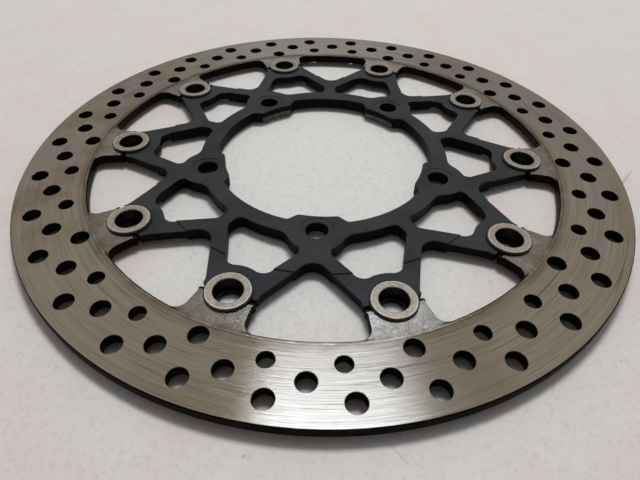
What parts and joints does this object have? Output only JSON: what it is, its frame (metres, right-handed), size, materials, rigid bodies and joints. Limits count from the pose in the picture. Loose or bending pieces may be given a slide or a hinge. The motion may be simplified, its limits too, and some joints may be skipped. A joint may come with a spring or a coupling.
{
  "type": "motorcycle brake disc",
  "caption": "Floating brake disc for a motorcycle wheel: drilled steel friction ring on a slim-armed dark aluminium carrier, joined by hollow bobbins with spring washers.",
  "frame": {"origin": "on the axle line, in the plane of the carrier's wheel-side mounting face", "axes": "+Z along the axle, away from the wheel, towards the flanges of the bobbins; bobbin 1 on +X and one bolt hole on -Y"},
  "size_m": [0.31, 0.31, 0.0085],
  "materials": {
    "friction_steel": "circular ground, satin",
    "dark_anodised": "dark grey anodised, satin",
    "plated_bobbin": "nickel plated, fine blasted",
    "spring_steel": "satin",
    "washer_steel": "zinc plated, satin"
  },
  "bodies": {
    "carrier": {"carrier": "dark_anodised"},
    "friction_ring": {"friction_ring": "friction_steel"},
    "bobbin_set_01": {"bobbin_01": "plated_bobbin", "wave_washer_01": "spring_steel", "flat_washer_01": "washer_steel"},
    "bobbin_set_02": {"bobbin_02": "plated_bobbin", "wave_washer_02": "spring_steel", "flat_washer_02": "washer_steel"},
    "bobbin_set_03": {"bobbin_03": "plated_bobbin", "wave_washer_03": "spring_steel", "flat_washer_03": "washer_steel"},
    "bobbin_set_04": {"bobbin_04": "plated_bobbin", "wave_washer_04": "spring_steel", "flat_washer_04": "washer_steel"},
    "bobbin_set_05": {"bobbin_05": "plated_bobbin", "wave_washer_05": "spring_steel", "flat_washer_05": "washer_steel"},
    "bobbin_set_06": {"bobbin_06": "plated_bobbin", "wave_washer_06": "spring_steel", "flat_washer_06": "washer_steel"},
    "bobbin_set_07": {"bobbin_07": "plated_bobbin", "wave_washer_07": "spring_steel", "flat_washer_07": "washer_steel"},
    "bobbin_set_08": {"bobbin_08": "plated_bobbin", "wave_washer_08": "spring_steel", "flat_washer_08": "washer_steel"},
    "bobbin_set_09": {"bobbin_09": "plated_bobbin", "wave_washer_09": "spring_steel", "flat_washer_09": "washer_steel"},
    "bobbin_set_10": {"bobbin_10": "plated_bobbin", "wave_washer_10": "spring_steel", "flat_washer_10": "washer_steel"}
  },
  "joints": [
    {"name": "ring_float", "type": "slide", "parent": "carrier", "child": "friction_ring", "axis": [0, 0, 1], "range_m": [-0.0005, 0], "stiffness_N_per_m": 100000, "springref_m": 0.0003, "deforming": ["wave_washer_01", "wave_washer_02", "wave_washer_03", "wave_washer_04", "wave_washer_05", "wave_washer_06", "wave_washer_07", "wave_washer_08", "wave_washer_09", "wave_washer_10"]},
    {"name": "bobbin_spin_01", "type": "hinge", "parent": "carrier", "child": "bobbin_set_01", "pos_m": [0.10635, 0, 0], "axis": [0, 0, 1], "continuous": true},
    {"name": "bobbin_spin_02", "type": "hinge", "parent": "carrier", "child": "bobbin_set_02", "pos_m": [0.08604, 0.06251, 0], "axis": [0, 0, 1], "continuous": true},
    {"name": "bobbin_spin_03", "type": "hinge", "parent": "carrier", "child": "bobbin_set_03", "pos_m": [0.03286, 0.10114, 0], "axis": [0, 0, 1], "continuous": true},
    {"name": "bobbin_spin_04", "type": "hinge", "parent": "carrier", "child": "bobbin_set_04", "pos_m": [-0.03286, 0.10114, 0], "axis": [0, 0, 1], "continuous": true},
    {"name": "bobbin_spin_05", "type": "hinge", "parent": "carrier", "child": "bobbin_set_05", "pos_m": [-0.08604, 0.06251, 0], "axis": [0, 0, 1], "continuous": true},
    {"name": "bobbin_spin_06", "type": "hinge", "parent": "carrier", "child": "bobbin_set_06", "pos_m": [-0.10635, 0, 0], "axis": [0, 0, 1], "continuous": true},
    {"name": "bobbin_spin_07", "type": "hinge", "parent": "carrier", "child": "bobbin_set_07", "pos_m": [-0.08604, -0.06251, 0], "axis": [0, 0, 1], "continuous": true},
    {"name": "bobbin_spin_08", "type": "hinge", "parent": "carrier", "child": "bobbin_set_08", "pos_m": [-0.03286, -0.10114, 0], "axis": [0, 0, 1], "continuous": true},
    {"name": "bobbin_spin_09", "type": "hinge", "parent": "carrier", "child": "bobbin_set_09", "pos_m": [0.03286, -0.10114, 0], "axis": [0, 0, 1], "continuous": true},
    {"name": "bobbin_spin_10", "type": "hinge", "parent": "carrier", "child": "bobbin_set_10", "pos_m": [0.08604, -0.06251, 0], "axis": [0, 0, 1], "continuous": true}
  ]
}
